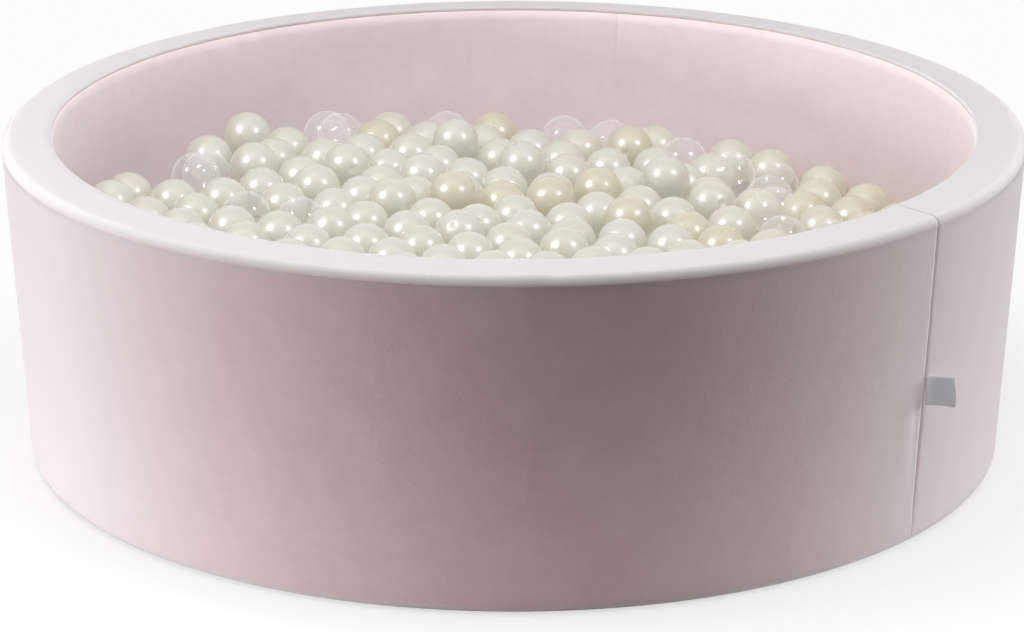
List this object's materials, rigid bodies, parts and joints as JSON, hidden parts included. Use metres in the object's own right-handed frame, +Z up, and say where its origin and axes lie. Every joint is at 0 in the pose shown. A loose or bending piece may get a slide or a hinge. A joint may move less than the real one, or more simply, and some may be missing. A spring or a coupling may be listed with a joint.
{
  "type": "ball pit",
  "caption": "Round padded ball pit: foam ring in a zipped soft cover, lift-out floor mat, and a fill of loose play balls.",
  "frame": {"origin": "centre of the pit's base, on the floor", "axes": "+Z up, -Y towards the front; the outer seam and its label are at the right of the front"},
  "size_m": [1.2192, 1.2192, 0.396],
  "materials": {
    "outer_velvet": "short matt pile",
    "inner_velvet": "short matt pile",
    "mat_velvet": "short matt pile",
    "underside_cloth": "plain woven lining",
    "foam": "open-cell foam",
    "zip_tape": "woven tape",
    "zip_coil": "moulded coil",
    "zip_metal": "plated",
    "label_ribbon": "satin ribbon",
    "pearl_ball": "pearl",
    "cream_ball": "pearl",
    "clear_ball": "clear"
  },
  "bodies": {
    "wall": {"wall_foam_left": "foam", "wall_foam_right": "foam", "outer_cover_panel": "outer_velvet", "inner_cover_panel": "inner_velvet", "underside_panel": "underside_cloth", "side_label": "label_ribbon", "wall_zip_outer_tape": "zip_tape", "wall_zip_inner_tape": "zip_tape", "wall_zip_outer_coil": "zip_coil", "wall_zip_inner_coil": "zip_coil", "wall_zip_start_stop": "zip_metal", "wall_zip_end_stop": "zip_metal"},
    "wall_zip_slider": {"wall_zip_slider": "zip_metal"},
    "wall_zip_pull": {"wall_zip_pull": "zip_metal"},
    "floor_mat": {"mat_foam": "foam", "mat_top_panel": "mat_velvet", "mat_underside_panel": "underside_cloth", "mat_upper_band": "mat_velvet", "mat_lower_band": "mat_velvet", "mat_zip_upper_tape": "zip_tape", "mat_zip_lower_tape": "zip_tape", "mat_zip_upper_coil": "zip_coil", "mat_zip_lower_coil": "zip_coil", "mat_zip_start_stop": "zip_metal", "mat_zip_end_stop": "zip_metal"},
    "mat_zip_slider": {"mat_zip_slider": "zip_metal"},
    "mat_zip_pull": {"mat_zip_pull": "zip_metal"},
    "ball_bed": {"ball_bed": "pearl_ball"},
    "ball_01": {"ball_01": "clear_ball"},
    "ball_02": {"ball_02": "pearl_ball"},
    "ball_03": {"ball_03": "pearl_ball"},
    "ball_04": {"ball_04": "clear_ball"},
    "ball_05": {"ball_05": "pearl_ball"},
    "ball_06": {"ball_06": "pearl_ball"},
    "ball_07": {"ball_07": "pearl_ball"},
    "ball_08": {"ball_08": "pearl_ball"},
    "ball_09": {"ball_09": "pearl_ball"},
    "ball_10": {"ball_10": "pearl_ball"},
    "ball_11": {"ball_11": "cream_ball"},
    "ball_12": {"ball_12": "pearl_ball"},
    "ball_13": {"ball_13": "pearl_ball"},
    "ball_14": {"ball_14": "cream_ball"},
    "ball_15": {"ball_15": "pearl_ball"},
    "ball_16": {"ball_16": "cream_ball"},
    "ball_17": {"ball_17": "cream_ball"},
    "ball_18": {"ball_18": "cream_ball"},
    "ball_19": {"ball_19": "pearl_ball"},
    "ball_20": {"ball_20": "pearl_ball"},
    "ball_21": {"ball_21": "clear_ball"},
    "ball_22": {"ball_22": "clear_ball"}
  },
  "joints": [
    {"name": "mat_lift", "type": "slide", "parent": "wall", "child": "floor_mat", "axis": [0, 0, 1], "range_m": [0, 0.42]},
    {"name": "bed_lift", "type": "slide", "parent": "floor_mat", "child": "ball_bed", "axis": [0, 0, 1], "range_m": [0, 0.36]},
    {"name": "wall_slider_run", "type": "hinge", "parent": "wall", "child": "wall_zip_slider", "pos_m": [0, 0, 0], "axis": [0, 0, 1], "range_deg": [0, 348]},
    {"name": "wall_pull_swing", "type": "hinge", "parent": "wall_zip_slider", "child": "wall_zip_pull", "pos_m": [-0.05546, 0.56158, 0.00315], "axis": [0.0983, -0.9952, 0], "range_deg": [0, 150]},
    {"name": "mat_slider_run", "type": "hinge", "parent": "floor_mat", "child": "mat_zip_slider", "pos_m": [0, 0, 0.025], "axis": [0, 0, 1], "range_deg": [0, 348]},
    {"name": "mat_pull_swing", "type": "hinge", "parent": "mat_zip_slider", "child": "mat_zip_pull", "pos_m": [-0.05102, 0.5102, 0.025], "axis": [0, 0, -1], "range_deg": [0, 20]},
    {"name": "ball_01_lift", "type": "slide", "parent": "ball_bed", "child": "ball_01", "axis": [0, 0, 1], "range_m": [0, 0.2]},
    {"name": "ball_02_lift", "type": "slide", "parent": "ball_bed", "child": "ball_02", "axis": [0, 0, 1], "range_m": [0, 0.2]},
    {"name": "ball_03_lift", "type": "slide", "parent": "ball_bed", "child": "ball_03", "axis": [0, 0, 1], "range_m": [0, 0.2]},
    {"name": "ball_04_lift", "type": "slide", "parent": "ball_bed", "child": "ball_04", "axis": [0, 0, 1], "range_m": [0, 0.2]},
    {"name": "ball_05_lift", "type": "slide", "parent": "ball_bed", "child": "ball_05", "axis": [0, 0, 1], "range_m": [0, 0.2]},
    {"name": "ball_06_lift", "type": "slide", "parent": "ball_bed", "child": "ball_06", "axis": [0, 0, 1], "range_m": [0, 0.2]},
    {"name": "ball_07_lift", "type": "slide", "parent": "ball_bed", "child": "ball_07", "axis": [0, 0, 1], "range_m": [0, 0.2]},
    {"name": "ball_08_lift", "type": "slide", "parent": "ball_bed", "child": "ball_08", "axis": [0, 0, 1], "range_m": [0, 0.2]},
    {"name": "ball_09_lift", "type": "slide", "parent": "ball_bed", "child": "ball_09", "axis": [0, 0, 1], "range_m": [0, 0.2]},
    {"name": "ball_10_lift", "type": "slide", "parent": "ball_bed", "child": "ball_10", "axis": [0, 0, 1], "range_m": [0, 0.2]},
    {"name": "ball_11_lift", "type": "slide", "parent": "ball_bed", "child": "ball_11", "axis": [0, 0, 1], "range_m": [0, 0.2]},
    {"name": "ball_12_lift", "type": "slide", "parent": "ball_bed", "child": "ball_12", "axis": [0, 0, 1], "range_m": [0, 0.2]},
    {"name": "ball_13_lift", "type": "slide", "parent": "ball_bed", "child": "ball_13", "axis": [0, 0, 1], "range_m": [0, 0.2]},
    {"name": "ball_14_lift", "type": "slide", "parent": "ball_bed", "child": "ball_14", "axis": [0, 0, 1], "range_m": [0, 0.2]},
    {"name": "ball_15_lift", "type": "slide", "parent": "ball_bed", "child": "ball_15", "axis": [0, 0, 1], "range_m": [0, 0.2]},
    {"name": "ball_16_lift", "type": "slide", "parent": "ball_bed", "child": "ball_16", "axis": [0, 0, 1], "range_m": [0, 0.2]},
    {"name": "ball_17_lift", "type": "slide", "parent": "ball_bed", "child": "ball_17", "axis": [0, 0, 1], "range_m": [0, 0.2]},
    {"name": "ball_18_lift", "type": "slide", "parent": "ball_bed", "child": "ball_18", "axis": [0, 0, 1], "range_m": [0, 0.2]},
    {"name": "ball_19_lift", "type": "slide", "parent": "ball_bed", "child": "ball_19", "axis": [0, 0, 1], "range_m": [0, 0.2]},
    {"name": "ball_20_lift", "type": "slide", "parent": "ball_bed", "child": "ball_20", "axis": [0, 0, 1], "range_m": [0, 0.2]},
    {"name": "ball_21_lift", "type": "slide", "parent": "ball_bed", "child": "ball_21", "axis": [0, 0, 1], "range_m": [0, 0.2]},
    {"name": "ball_22_lift", "type": "slide", "parent": "ball_bed", "child": "ball_22", "axis": [0, 0, 1], "range_m": [0, 0.2]}
  ]
}
